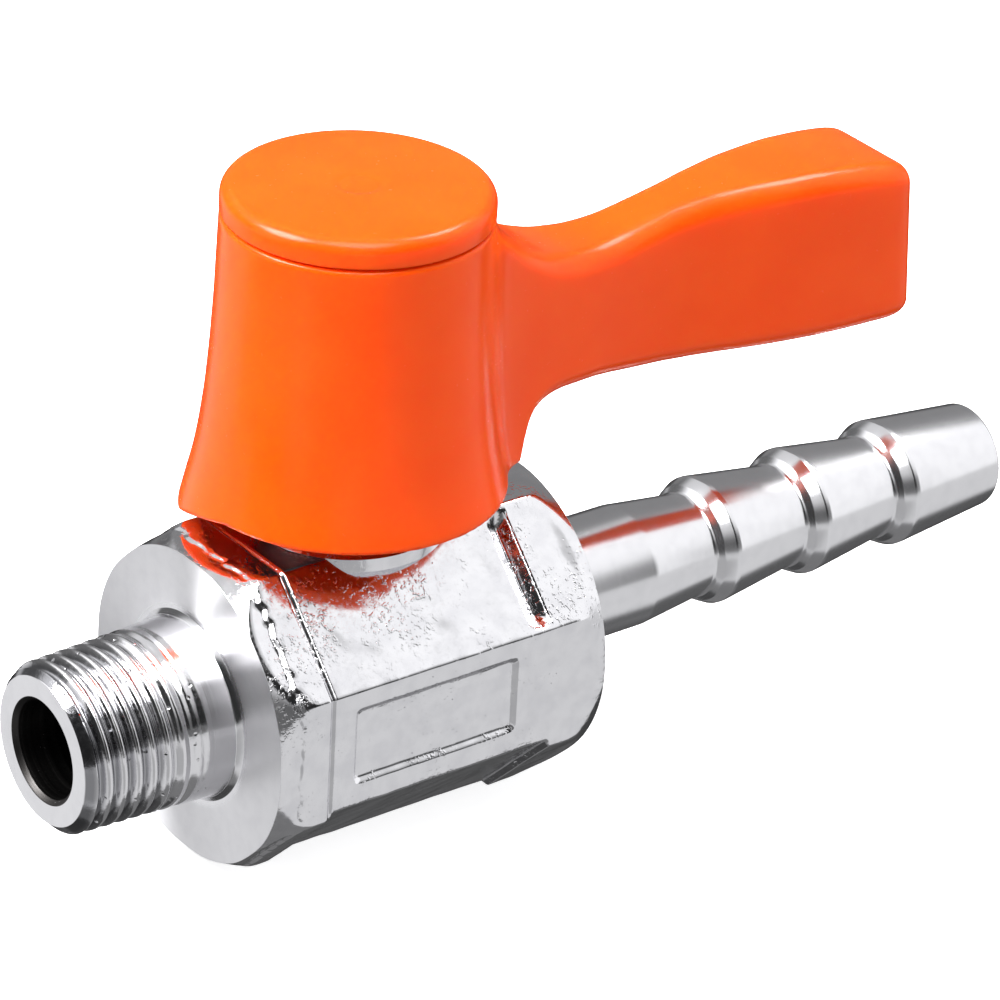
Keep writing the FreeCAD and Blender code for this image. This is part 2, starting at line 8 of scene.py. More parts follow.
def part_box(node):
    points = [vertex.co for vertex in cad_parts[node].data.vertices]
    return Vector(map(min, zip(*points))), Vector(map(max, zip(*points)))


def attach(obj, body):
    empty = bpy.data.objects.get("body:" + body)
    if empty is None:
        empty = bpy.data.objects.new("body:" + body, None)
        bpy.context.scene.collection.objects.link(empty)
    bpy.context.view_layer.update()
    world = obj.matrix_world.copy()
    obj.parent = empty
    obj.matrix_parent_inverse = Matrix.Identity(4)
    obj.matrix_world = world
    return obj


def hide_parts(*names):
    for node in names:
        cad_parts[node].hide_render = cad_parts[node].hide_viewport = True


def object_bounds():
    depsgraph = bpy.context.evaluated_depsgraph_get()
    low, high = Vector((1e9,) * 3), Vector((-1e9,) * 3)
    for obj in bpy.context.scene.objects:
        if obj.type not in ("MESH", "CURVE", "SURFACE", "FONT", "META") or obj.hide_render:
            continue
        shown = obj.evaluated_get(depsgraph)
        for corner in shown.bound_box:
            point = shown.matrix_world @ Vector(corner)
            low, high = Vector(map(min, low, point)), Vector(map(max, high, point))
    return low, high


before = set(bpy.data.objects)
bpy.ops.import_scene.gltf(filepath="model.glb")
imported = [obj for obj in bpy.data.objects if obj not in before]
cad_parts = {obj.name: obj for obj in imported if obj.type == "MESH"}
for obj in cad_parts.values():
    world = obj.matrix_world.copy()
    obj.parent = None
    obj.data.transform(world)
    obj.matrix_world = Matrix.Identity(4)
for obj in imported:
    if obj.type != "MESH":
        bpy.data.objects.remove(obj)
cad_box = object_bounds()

# Mini ball valve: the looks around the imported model.
# Lengths are millimetres in the row frame and become metres when a mesh is made.
# X runs along the flow towards the hose barb, Z up the stem. Angles round the flow axis start at +Y.

MM = 0.001


# ---- Sizes read from the frame ----

def box_mm(node):
    low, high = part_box(node)
    return np.array(low) / MM, np.array(high) / MM


body_low, body_high = box_mm("valve_body")
hose_low, hose_high = box_mm("hose_end")
lever_low, lever_high = box_mm("lever_handle")
cap_low, cap_high = box_mm("lever_cap")
scene_low, scene_high = (np.array(corner) / MM for corner in cad_box)

HALF_FLATS = body_high[1]
INLET_TIP = body_low[0]
BODY_END = body_high[0]
BOSS_TOP = body_high[2]
STEM_X = (cap_low[0] + cap_high[0]) / 2
CAP_RADIUS = (cap_high[0] - cap_low[0]) / 2
CAP_TOP = cap_high[2]
TAB_BOTTOM = lever_low[2]
SKIRT_RADIUS = STEM_X - lever_low[0]
HUB_TOP = lever_high[2]
LEVER_END = lever_high[0]
NOSE_START = hose_low[0]
TIP_END = hose_high[0]
SHOULDER_RADIUS = hose_high[1]
FLOOR_LEVEL = scene_low[2]

# ---- Forged body ----

CORNER_RADIUS = HALF_FLATS / math.cos(math.pi / 8)
HALF_SIDE = HALF_FLATS * math.tan(math.pi / 8)
FORGED_EDGE = 0.32          # rounding along the octagon's edges
TURNED_EDGE = 0.22          # blend where the end chamfers meet the forging
TURNED_CIRCLE = 8.88        # circle the end chamfers start from
CHAMFER_LENGTH = 1.95
CUT_DEPTH = 0.15            # how far the lathe's first cut goes into the flats
CUT_START = 1.10            # its torn edge, from here
CUT_END = 1.55              # to here
MIDDLE_START = 3.2
MIDDLE_END = 17.9
LOWER_INSET = 0.35
INSET_BLEND = 0.35
CREASE_DEPTH = 0.14
CREASE_HALF_WIDTH = 0.12
NOTCH_MIDDLE = 17.15
NOTCH_WIDTHS = (0.95, 0.60)     # before and after its deepest line
NOTCH_DEPTH = 0.7
PANEL_START = 4.6
PANEL_END = 15.5
PANEL_TOP = 2.75
PANEL_BOTTOM = -2.05
PANEL_DEPTH = 0.27
PANEL_CORNER = 0.5
PANEL_BEVEL = 0.40

# Bores inside the body
INLET_BORE = 2.75
CHAMBER_RADIUS = 5.5
CHAMBER_START = 4.55
CHAMBER_END = 16.0
END_THREAD_RADIUS = 6.95
END_THREAD_DEPTH = 0.5
END_THREAD_PITCH = 1.0
COUNTERBORE_RADIUS = 7.3
COUNTERBORE_DEPTH = 1.2

# Taper pipe thread
THREAD_PITCH = 0.907
THREAD_DEPTH = 0.40
GAUGE_RADIUS = 4.864
GAUGE_PLANE = INLET_TIP + 4.0
TAPER = 1 / 16
THREAD_END = -1.9
END_FACE_RADIUS = 4.17
NECK_RADIUS = 5.09
NECK_START_RADIUS = 4.98        # where the thread runs out
NECK_FILLET = 0.3


# ---- Mesh tools ----

def rounded_path(corners, closed=False):
    """Points along a line through (a, b, fillet radius) corners, each corner rounded by its own arc."""
    points = [np.array(corner[:2], float) for corner in corners]
    count = len(points)
    path = []
    for index, (point, corner) in enumerate(zip(points, corners)):
        radius = corner[2] if len(corner) > 2 else 0
        at_end = not closed and index in (0, count - 1)
        if radius == 0 or at_end:
            path.append(point)
            continue
        back = points[index - 1] - point
        ahead = points[(index + 1) % count] - point
        back_length, ahead_length = np.linalg.norm(back), np.linalg.norm(ahead)
        back, ahead = back / back_length, ahead / ahead_length
        half = math.acos(float(np.clip(back @ ahead, -1, 1))) / 2
        cut = min(radius / math.tan(half), 0.49 * back_length, 0.49 * ahead_length)
        radius = cut * math.tan(half)
        bisector = (back + ahead) / np.linalg.norm(back + ahead)
        centre = point + bisector * radius / math.sin(half)
        first, last = point + back * cut - centre, point + ahead * cut - centre
        turn = math.pi - 2 * half
        steps = max(2, math.ceil(turn / math.radians(12)))
        for step in range(steps + 1):
            share = step / steps
            blend = math.sin((1 - share) * turn) * first + math.sin(share * turn) * last
            path.append(centre + blend / math.sin(turn))
    return np.array(path)


def even_angles(count):
    return np.linspace(0, 2 * math.pi, count, endpoint=False)


def around_x(along, radius, angles):
    """Rings about the flow axis. radius has one row per ring and one column per angle."""
    radius = np.broadcast_to(radius, (len(along), len(angles)))
    x = np.broadcast_to(np.asarray(along)[:, None], radius.shape)
    return np.stack([x, radius * np.cos(angles), radius * np.sin(angles)], axis=2)


def around_stem(along, radius, angles):
    """Rings about the stem axis."""
    radius = np.broadcast_to(radius, (len(along), len(angles)))
    z = np.broadcast_to(np.asarray(along)[:, None], radius.shape)
    return np.stack([STEM_X + radius * np.cos(angles), radius * np.sin(angles), z], axis=2)


def ring_faces(ring_count, point_count, closed):
    """Quads between neighbouring rings; closed joins the last ring to the first."""
    rings = np.arange(ring_count if closed else ring_count - 1)
    here = rings[:, None] * point_count
    there = ((rings + 1) % ring_count)[:, None] * point_count
    column = np.arange(point_count)[None, :]
    turned = (column + 1) % point_count
    quads = np.stack([here + column, here + turned, there + turned, there + column], axis=2)
    return quads.reshape(-1, 4)


def signed_volume(vertices, quads):
    a, b, c, d = (vertices[quads[:, corner]] for corner in range(4))
    return (np.einsum("ij,ij->i", a, np.cross(b, c)) + np.einsum("ij,ij->i", a, np.cross(c, d))).sum()


def mesh_object(name, vertices, quads, zones=None):
    """A mesh object with outward faces; zones are material numbers, one per face."""
    if signed_volume(vertices, quads) < 0:
        quads = quads[:, ::-1]
    mesh = bpy.data.meshes.new(name)
    mesh.from_pydata((vertices * MM).tolist(), [], quads.tolist())
    if zones is not None:
        mesh.polygons.foreach_set("material_index", np.asarray(zones, np.int32))
    mesh.update()
    piece = bpy.data.objects.new(name, mesh)
    bpy.context.scene.collection.objects.link(piece)
    return piece


def ring_object(name, rings, closed=True, zones=None):
    ring_count, point_count = rings.shape[:2]
    quads = ring_faces(ring_count, point_count, closed)
    face_zones = None if zones is None else np.repeat(zones, point_count)[: len(quads)]
    return mesh_object(name, rings.reshape(-1, 3), quads, face_zones)


def close_poles(piece):
    """Merges the points of rings that have shrunk to the axis."""
    bpy.context.view_layer.objects.active = piece
    weld = piece.modifiers.new("poles", "WELD")
    weld.merge_threshold = 1e-7
    apply_modifiers(piece)


def apply_modifiers(piece):
    depsgraph = bpy.context.evaluated_depsgraph_get()
    finished = bpy.data.meshes.new_from_object(piece.evaluated_get(depsgraph))
    piece.modifiers.clear()
    piece.data = finished


def combine(piece, other, operation):
    """Joins or cuts piece with other, which is used up."""
    cut = piece.modifiers.new("combine", "BOOLEAN")
    cut.operation = operation
    cut.solver = "MANIFOLD"
    cut.object = other
    bpy.context.view_layer.update()
    apply_modifiers(piece)
    bpy.data.objects.remove(other)


def finish_piece(piece, body, nodes, materials, sharp_degrees=35):
    """Gives the piece its materials, ties it to the frame and shades it smooth between sharp edges.

    A piece with normals of its own keeps them when sharp_degrees is None."""
    for _ in range(len(materials) - len(piece.data.materials)):
        piece.data.materials.append(None)
    for index, material in enumerate(materials):
        piece.data.materials[index] = material
    if sharp_degrees is not None:
        piece.data.shade_smooth()
        piece.data.set_sharp_from_angle(angle=math.radians(sharp_degrees))
    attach(piece, body)
    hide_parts(*nodes)
    return piece


def smooth_step(value, low, high):
    share = np.clip((value - low) / (high - low), 0, 1)
    return share * share * (3 - 2 * share)


def smooth_min(a, b, reach):
    """The lesser of a and b, rounded without a crease where they meet; the rounding takes off reach / 4."""
    width = 1.5 * reach
    near = np.maximum(1 - np.abs(a - b) / width, 0)
    return np.minimum(a, b) - width * near ** 3 / 6


def smooth_max(a, b, reach):
    return -smooth_min(-a, -b, reach)


def ripple(points, wavelength, waves, seed):
    """Smooth unevenness of amplitude about 1 from seeded plane waves of about this wavelength."""
    rng = np.random.default_rng(seed)
    direction = rng.normal(size=(waves, 3))
    direction /= np.linalg.norm(direction, axis=1)[:, None]
    frequency = 2 * math.pi / wavelength * rng.uniform(0.6, 1.5, waves)
    phase = rng.uniform(0, 2 * math.pi, waves)
    total = np.zeros(points.shape[:-1])
    for way, speed, start in zip(direction, frequency, phase):
        total += np.sin(points @ way * speed + start)
    return total / math.sqrt(waves / 2)


# ---- Valve body ----

def octagon_radius(angles, inset):
    """Distance from the flow axis to a rounded octagon whose three lower flats lie inset further in."""
    slant = HALF_SIDE - inset * (math.sqrt(2) - 1)
    side_low = -HALF_SIDE + inset * math.sqrt(2)
    half = [
        (HALF_SIDE, HALF_FLATS, FORGED_EDGE),
        (HALF_FLATS, HALF_SIDE, FORGED_EDGE),
        (HALF_FLATS, side_low, FORGED_EDGE),
        (slant, -HALF_FLATS + inset, FORGED_EDGE),
    ]
    outline = rounded_path(half + [(-y, z, edge) for y, z, edge in reversed(half)], closed=True)
    fine = []
    for start, end in zip(outline, np.roll(outline, -1, axis=0)):
        fine.append(start + (end - start) * np.linspace(0, 1, 24, endpoint=False)[:, None])
    fine = np.concatenate(fine)
    radius, direction = np.hypot(*fine.T), np.arctan2(fine[:, 1], fine[:, 0])
    order = np.argsort(direction)
    return np.interp(angles, direction[order], radius[order], period=2 * math.pi)


def body_angles():
    """Angles round the body, closer together at the octagon's edges and at the panel's long edges."""
    edges = [22.5 + 45 * index for index in range(8)]
    panel = [math.degrees(math.atan2(z, HALF_FLATS)) for z in (PANEL_TOP, PANEL_BOTTOM)]
    panel += [180 - angle for angle in panel]
    degrees = list(np.arange(0, 360, 1.25))
    for middle in edges:
        degrees += list(middle + np.arange(-2.4, 2.41, 0.3))
    for middle in panel:
        degrees += list(middle + np.arange(-1.8, 1.81, 0.3))
    degrees = np.unique(np.round(np.mod(degrees, 360), 3))
    spaced = np.append(True, np.diff(degrees) > 0.12)
    return np.radians(degrees[spaced])


def panel_recess(x, z):
    """Depth of the blank name panel at a point on a side flat."""
    middle_x, middle_z = (PANEL_START + PANEL_END) / 2, (PANEL_TOP + PANEL_BOTTOM) / 2
    across_x = np.abs(x - middle_x) - (PANEL_END - PANEL_START) / 2 + PANEL_CORNER
    across_z = np.abs(z - middle_z) - (PANEL_TOP - PANEL_BOTTOM) / 2 + PANEL_CORNER
    outside = np.hypot(np.maximum(across_x, 0), np.maximum(across_z, 0))
    distance = outside + np.minimum(np.maximum(across_x, across_z), 0) - PANEL_CORNER
    return PANEL_DEPTH * smooth_step(-distance, 0, PANEL_BEVEL)


def turned_envelope(x):
    """Radius the lathe leaves at each end of the forging."""
    slope = (CORNER_RADIUS - TURNED_CIRCLE) / CHAMFER_LENGTH
    from_end = np.minimum(x, BODY_END - x)
    return TURNED_CIRCLE + slope * from_end


def forged_radius(x, angles):
    """Radius of the forging for each station along X and each angle."""
    x = x[:, None]
    angles = angles[None, :]
    middle = smooth_step(x, MIDDLE_START, MIDDLE_START + INSET_BLEND)
    middle *= 1 - smooth_step(x, MIDDLE_END - INSET_BLEND, MIDDLE_END)
    collar_radius = octagon_radius(angles, 0)
    radius = collar_radius + (octagon_radius(angles, LOWER_INSET) - collar_radius) * middle
    crease = CREASE_DEPTH * np.exp(-((x - MIDDLE_START) / CREASE_HALF_WIDTH) ** 2)
    folded = np.abs(np.mod(np.degrees(angles), 180) - 90)
    from_slant = np.abs(folded - 45)
    upper = np.sin(angles) > 0
    along = x - NOTCH_MIDDLE
    across = np.clip(1 - np.where(along < 0, -along / NOTCH_WIDTHS[0], along / NOTCH_WIDTHS[1]), 0, 1)
    notch = NOTCH_DEPTH * smooth_max(across, 0.12, 0.12) * (across > 0)
    notch = notch * (1 - smooth_step(from_slant, 17.5, 22)) * upper
    recess = panel_recess(x, radius * np.sin(angles)) * (np.abs(np.sin(angles)) < 0.4)
    radius = radius - crease - notch - recess
    points = around_x(x[:, 0], radius, angles[0])
    torn = x + 0.10 * ripple(points, 0.8, 12, 7)
    radius = radius - CUT_DEPTH * (1 - smooth_step(torn, CUT_START, CUT_END))
    uneven = 0.011 * ripple(points, 5.0, 14, 3) + 0.005 * ripple(points, 1.6, 20, 5)
    inland = smooth_step(np.minimum(x, BODY_END - x), 0.2, 1.6)
    radius = radius + np.minimum(uneven - 0.06, 0) * inland
    return smooth_min(radius, turned_envelope(x), TURNED_EDGE)


def thread_radius(x, angles):
    """Radius of the right-handed taper thread, running out into the neck."""
    x = x[:, None]
    crest = GAUGE_RADIUS + (x - GAUGE_PLANE) * TAPER / 2
    phase = (x - GAUGE_PLANE) / THREAD_PITCH - angles[None, :] / (2 * math.pi)
    height = 1 - np.abs(2 * (phase - np.floor(phase)) - 1)
    height = smooth_step(height, 0.05, 0.90)
    running_out = smooth_step(x, THREAD_END - 0.6, THREAD_END + 0.15)
    fading = smooth_step(x, THREAD_END - 3.6, THREAD_END + 0.15)
    cut = THREAD_DEPTH * (1 - height) * (1 - fading)
    radius = crest + (NECK_START_RADIUS - crest) * running_out - cut
    chamfer = END_FACE_RADIUS + (x - INLET_TIP)
    return smooth_min(radius, chamfer, 0.05)


def inner_thread(start, turns, crest, pitch, depth):
    """Corners of an annular thread, as (x, radius)."""
    corners = []
    for turn in range(turns):
        at = start + turn * pitch
        corners += [(at, crest), (at + 0.4 * pitch, crest - depth), (at + 0.6 * pitch, crest - depth)]
    corners.append((start + turns * pitch, crest))
    return corners


FORGED, TURNED, THREAD, BORE = range(4)


def valve_body_shell():
    """The forging with its thread and through bores, as one closed skin of rings."""
    angles = body_angles()
    full = np.ones(len(angles))
    parts = []

    def add(x, radius, zone):
        x = np.asarray(x, float)
        radius = np.asarray(radius, float)
        if radius.ndim == 1:
            radius = radius[:, None] * full
        parts.append((x, radius, np.full(len(x), zone)))

    mouth = rounded_path([(CHAMBER_START, INLET_BORE), (INLET_TIP + 0.25, INLET_BORE, 0.1),
                          (INLET_TIP, INLET_BORE + 0.25, 0.06), (INLET_TIP, END_FACE_RADIUS)])
    add(mouth[:, 0], mouth[:, 1], BORE)
    parts[-1][2][-2:] = TURNED
    x = np.arange(INLET_TIP + 0.03, THREAD_END + 0.3, 0.055)
    add(x, thread_radius(x, angles), THREAD)
    neck = rounded_path([(THREAD_END + 0.32, NECK_START_RADIUS), (-0.25, NECK_RADIUS, 0.15),
                         (0, NECK_RADIUS + NECK_FILLET, 0.05), (0, NECK_RADIUS + 0.6)])
    add(neck[:, 0], neck[:, 1], TURNED)
    face = np.linspace(NECK_RADIUS + 0.8, HALF_FLATS - 0.35, 6)
    add(np.zeros(6), face, TURNED)
    from_end = np.concatenate([[0.0, 0.012, 0.03, 0.06], np.arange(0.1, 1.5, 0.07)])
    middle = np.arange(1.5, BODY_END - 1.45, 0.15)
    dense = [MIDDLE_START + np.arange(-0.4, 0.55, 0.06), NOTCH_MIDDLE + np.arange(-1.1, 0.76, 0.06)]
    for edge in (PANEL_START, PANEL_END, MIDDLE_END - INSET_BLEND / 2):
        dense.append(edge + np.arange(-0.3, 0.31, 0.06))
    x = np.unique(np.round(np.concatenate([from_end, middle, BODY_END - from_end] + dense), 3))
    x = x[np.append(True, np.diff(x) > 0.009)]
    add(x, forged_radius(x, angles), FORGED)
    parts[-1][2][:2] = TURNED
    parts[-1][2][-2:] = TURNED
    add([BODY_END, BODY_END], [HALF_FLATS - 0.35, COUNTERBORE_RADIUS], TURNED)
    seal_floor = BODY_END - COUNTERBORE_DEPTH
    inside = [(seal_floor, COUNTERBORE_RADIUS), (seal_floor, END_THREAD_RADIUS)]
    inside += inner_thread(16.525, 3, END_THREAD_RADIUS, END_THREAD_PITCH, END_THREAD_DEPTH)[::-1]
    inside += [(CHAMBER_END, END_THREAD_RADIUS), (CHAMBER_END, CHAMBER_RADIUS), (CHAMBER_START, CHAMBER_RADIUS)]
    add([corner[0] for corner in inside], [corner[1] for corner in inside], BORE)
    x, radius, zones = (np.concatenate([part[index] for part in parts]) for index in range(3))
    return ring_object("valve_body_forging", around_x(x, radius, angles), zones=zones)


BOSS_RADIUS = 4.9
STOP_RADIUS = 6.3
STOP_BOTTOM = 10.9
STOP_TOP = 12.6
STOP_HALF_WIDTH = 11.0
STOP_MIDDLES = (212.0, 58.0)    # degrees round the stem axis
STEM_HOLE = 3.05
POCKET_RADIUS = 4.1
POCKET_TOP = 7.4


def boss():
    """The stem boss with its two cast stop lugs, sunk into the top of the body."""
    angles = even_angles(240)
    sunk = HALF_FLATS - 0.8
    side = rounded_path([(sunk, BOSS_RADIUS + 0.5), (HALF_FLATS - 0.05, BOSS_RADIUS + 0.5),
                         (HALF_FLATS + 0.45, BOSS_RADIUS, 0.15), (BOSS_TOP, BOSS_RADIUS, 0.3),
                         (BOSS_TOP, STEM_HOLE + 0.2, 0.1), (BOSS_TOP - 0.2, STEM_HOLE), (sunk, STEM_HOLE)])
    levels = np.concatenate([side[:3, 0], np.arange(HALF_FLATS + 0.1, BOSS_TOP - 0.4, 0.1), side[3:, 0]])
    order = np.concatenate([np.full(3, 0), np.full(len(levels) - 3 - len(side[3:]), 1), np.full(len(side[3:]), 0)])
    radius = np.concatenate([side[:3, 1], np.full((order == 1).sum(), BOSS_RADIUS), side[3:, 1]])[:, None]
    radius = radius * np.ones(len(angles))
    degrees = np.degrees(angles)[None, :]
    for middle in STOP_MIDDLES:
        away = np.abs((degrees - middle + 180) % 360 - 180)
        here = 1 - smooth_step(away, STOP_HALF_WIDTH - 1, STOP_HALF_WIDTH + 1)
        below = 1 - smooth_step(levels[:, None], STOP_TOP - 0.35, STOP_TOP)
        below = below * smooth_step(levels[:, None], STOP_BOTTOM, STOP_BOTTOM + 0.25)
        outer = (radius > BOSS_RADIUS - 0.05)
        radius = radius + (STOP_RADIUS - radius) * here * below * outer
    return ring_object("boss", around_stem(levels, radius, angles))


def make_valve_body():
    piece = valve_body_shell()
    combine(piece, boss(), "UNION")
    hole = [(-0.5, 0.001), (-0.5, POCKET_RADIUS), (POCKET_TOP, POCKET_RADIUS), (POCKET_TOP, STEM_HOLE),
            (BOSS_TOP + 1, STEM_HOLE), (BOSS_TOP + 1, 0.001)]
    levels, radii = np.array(hole).T
    cutter = ring_object("stem_hole", around_stem(levels, radii[:, None], even_angles(96)))
    combine(piece, cutter, "DIFFERENCE")
    return piece


# ---- Hose end ----

NOSE_BORE = 2.95
NOSE_RADIUS = 5.3
OUTLET_BORE = 2.0
SHOULDER_THICKNESS = 0.7
SHOULDER_HALF_FLATS = hose_high[2]
SHANK_RADIUS = 3.55
SHANK_END = 29.4
VALLEY_RADIUS = 3.0
BARB_RADIUS = 3.75
FIRST_BARB = 34.0
BARB_SPACING = 6.65
BARB_COUNT = 3
TIP_RADIUS = 3.1


def barb_corners():
    corners = []
    for barb in range(BARB_COUNT):
        foot = FIRST_BARB + barb * BARB_SPACING
        corners += [(foot, VALLEY_RADIUS, 0.35), (foot + 0.35, VALLEY_RADIUS + 0.42, 0.3)]
        corners += [(foot + 1.0, BARB_RADIUS, 0.3), (foot + 1.3, BARB_RADIUS, 0.3)]
    return corners


def make_hose_end():
    face = BODY_END + 0.03
    shoulder_end = face + SHOULDER_THICKNESS
    seal_start = BODY_END - COUNTERBORE_DEPTH
    crest = END_THREAD_RADIUS - 0.05
    outline = [(NOSE_START, NOSE_BORE + 0.1), (NOSE_START, NOSE_RADIUS, 0.15), (CHAMBER_END, NOSE_RADIUS, 0.1)]
    outline += inner_thread(16.525, 3, crest, END_THREAD_PITCH, END_THREAD_DEPTH)
    outline += [(seal_start, crest), (seal_start, 6.2, 0.1), (face, 6.2), (face, SHOULDER_RADIUS, 0.15),
                (shoulder_end, SHOULDER_RADIUS, 0.2), (shoulder_end, SHANK_RADIUS + 0.02, 0.25),
                (SHANK_END, SHANK_RADIUS, 3.0)]
    outline += barb_corners()
    outline += [(TIP_END, TIP_RADIUS, 0.3), (TIP_END, OUTLET_BORE + 0.25, 0.08),
                (TIP_END - 0.25, OUTLET_BORE, 0.1), (NOSE_START + 3.0, OUTLET_BORE, 0.5),
                (NOSE_START + 2.0, NOSE_BORE, 0.5), (NOSE_START, NOSE_BORE, 0.1)]
    path = rounded_path(outline)
    x, radius = path.T
    angles = even_angles(256)
    radius = radius[:, None] * np.ones(len(angles))
    on_shoulder = (x > face - 0.02) & (x < shoulder_end + 0.02)
    flat_limit = SHOULDER_HALF_FLATS / np.maximum(np.abs(np.sin(angles)), 1e-6)
    clipped = smooth_min(radius, np.maximum(flat_limit, 6.0)[None, :], 0.12)
    radius = np.where(on_shoulder[:, None], clipped, radius)
    radius = np.where((radius > SHANK_RADIUS + 0.4) | ~on_shoulder[:, None], radius, path[:, 1:2])
    bore_from = int(np.argmax(x)) + 1
    zones = np.where(np.arange(len(x)) >= bore_from + 3, 1, 0)
    return ring_object("hose_end_turned", around_x(x, radius, angles), zones=zones)


# ---- Lever handle ----

HUB_OUTLINE = [(9.15, 9.13), (10.0, 8.93), (10.9, 8.73), (11.6, 8.55), (12.6, 8.33), (14.1, 8.08), (16.4, 7.80),
               (19.0, 7.6), (22.0, 7.44), (26.9, 7.29)]
SKIRT_BOTTOM = 10.85
SKIRT_WALL = 1.3
TAB_MIDDLE = 130.0              # degrees round the stem axis
TAB_HALF_WIDTHS = (3.2, 7.1)    # at the tab's lower edge and at the skirt's edge
SKIRT_CEILING = 20.0
HUB_FLOOR = 22.5
RECESS_RADIUS = 6.1
SOCKET_RADIUS = 4.3
SOCKET_BOTTOM = 14.35
SOCKET_TOP = 22.35
SQUARE = 4.26
SCREW_WAY = 1.63
LEVER_SIDE = [(15.0, 4.5), (17.0, 3.95), (19.0, 3.45), (22.0, 2.95), (24.0, 2.7), (26.0, 2.4), (28.0, 2.22),
              (30.0, 2.17), (32.0, 2.32), (34.0, 2.65), (36.0, 3.0), (38.0, 3.27), (40.0, 3.47),
              (42.0, 3.6), (45.0, 3.68), (47.0, 3.68)]
LEVER_TOP = [(16.5, 25.7), (17.5, 25.0), (19.0, 23.75), (21.0, 22.55), (23.0, 22.0), (25.0, 21.85),
             (27.0, 22.0), (30.0, 22.58), (33.0, 22.97), (36.0, 23.13), (40.0, 23.1), (43.0, 22.85),
             (47.0, 22.3)]
LEVER_UNDERSIDE = [(18.9, 9.0), (19.0, 11.0), (19.25, 12.1), (19.75, 13.0), (20.8, 13.75), (22.2, 13.98),
                   (25.0, 13.85), (28.0, 13.45), (31.0, 13.22), (35.0, 13.05), (40.0, 12.85), (47.0, 12.7)]
LEVER_ROUND = 1.25
LEVER_END_ROUND = 1.6
LEVER_END_LEAN = 0.075          # the end face leans in by this share of its height
WEB_BLEND = 0.9
LUG_BOTTOM = 11.3
LUG_INNER = BOSS_RADIUS + 0.55
LUG_HALF_ANGLE = 20.0


def rounded_box_distance(a, b, half_a, half_b, radius):
    """Signed distance to a rounded rectangle centred on the origin."""
    across_a = np.abs(a) - half_a + radius
    across_b = np.abs(b) - half_b + radius
    outside = np.hypot(np.maximum(across_a, 0), np.maximum(across_b, 0))
    return outside + np.minimum(np.maximum(across_a, across_b), 0) - radius


def from_list(value, pairs):
    known, values = zip(*pairs)
    return np.interp(value, known, values)


def smooth_table(pairs):
    """The same line through a list of pairs, eased by averaging so that it has no corners."""
    known, values = (np.array(column, float) for column in zip(*pairs))
    fine = np.linspace(known[0], known[-1], 400)
    line = np.interp(fine, known, values)
    width = max(3, int(400 * 1.6 / (known[-1] - known[0])) // 2 * 2 + 1)
    kernel = np.hanning(width + 2)[1:-1]
    for _ in range(2):
        ends = 2 * line[0] - line[width // 2:0:-1], 2 * line[-1] - line[-2:-width // 2 - 2:-1]
        padded = np.concatenate([ends[0], line, ends[1]])
        line = np.convolve(padded, kernel / kernel.sum(), "valid")
    return list(zip(fine, line))


HUB_CURVE = smooth_table(HUB_OUTLINE)
SIDE_CURVE = smooth_table(LEVER_SIDE)
TOP_CURVE = smooth_table(LEVER_TOP)
UNDERSIDE_CURVE = smooth_table(LEVER_UNDERSIDE)


def slab_distance(z, low, high):
    return np.maximum(low - z, z - high)


def skirt_edge_distance(x, y, z):
    """Signed distance to the space under the skirt's edge, which dips into a tab on one side."""
    around = math.radians(TAB_MIDDLE)
    outward = (x - STEM_X) * math.cos(around) + y * math.sin(around)
    sideways = np.abs(y * math.cos(around) - (x - STEM_X) * math.sin(around))
    low, high = TAB_HALF_WIDTHS
    rise = (SKIRT_BOTTOM - TAB_BOTTOM) / (high - low)
    edge = TAB_BOTTOM + np.clip((sideways - low) * rise, 0, SKIRT_BOTTOM - TAB_BOTTOM)
    edge = np.where(outward > 0, edge, SKIRT_BOTTOM)
    return edge - z


def handle_distance(x, y, z):
    """Signed distance to the lever handle, negative inside."""
    from_axis = np.hypot(x - STEM_X, y)
    hub_radius = from_list(z, HUB_CURVE)
    below_edge = skirt_edge_distance(x, y, z)
    hub = smooth_max(from_axis - hub_radius, np.maximum(below_edge, z - HUB_TOP), 0.35)
    top, underside = from_list(x, TOP_CURVE), from_list(x, UNDERSIDE_CURVE)
    side = from_list(x, SIDE_CURVE)
    middle, half_height = (top + underside) / 2, (top - underside) / 2
    bar = rounded_box_distance(y, z - middle, side, half_height, LEVER_ROUND)
    end = LEVER_END - LEVER_END_LEAN * (z - LEVER_UNDERSIDE[-1][1])
    bar = smooth_max(bar, x - end, LEVER_END_ROUND)
    bar = smooth_max(bar, SKIRT_BOTTOM - z, 0.35)
    bar = np.maximum(bar, STEM_X + 3 - x)
    solid = smooth_min(hub, bar, WEB_BLEND)
    solid = smooth_max(solid, np.maximum(below_edge, z - HUB_TOP), 0.35)
    hollow = np.maximum(from_axis - hub_radius + SKIRT_WALL, z - SKIRT_CEILING)
    hollow = smooth_max(hollow, SOCKET_RADIUS - from_axis, 0.5)
    below_socket = np.maximum(from_axis - hub_radius + SKIRT_WALL, z - SOCKET_BOTTOM)
    hollow = np.minimum(hollow, below_socket)
    around = np.abs(np.arctan2(y, -(x - STEM_X)))
    lug_side = (around - math.radians(LUG_HALF_ANGLE)) * from_axis
    lug = np.maximum(np.maximum(LUG_INNER - from_axis, lug_side), LUG_BOTTOM - z)
    hollow = smooth_max(hollow, -lug, 0.3)
    recess = np.maximum(from_axis - RECESS_RADIUS, HUB_FLOOR - z)
    square = rounded_box_distance(x - STEM_X, y, SQUARE / 2, SQUARE / 2, 0.2)
    square = np.maximum(square, z - SOCKET_TOP)
    screw_way = from_axis - SCREW_WAY
    emptied = np.minimum(np.minimum(hollow, recess), np.minimum(square, screw_way))
    return smooth_max(solid, -emptied, 0.25)


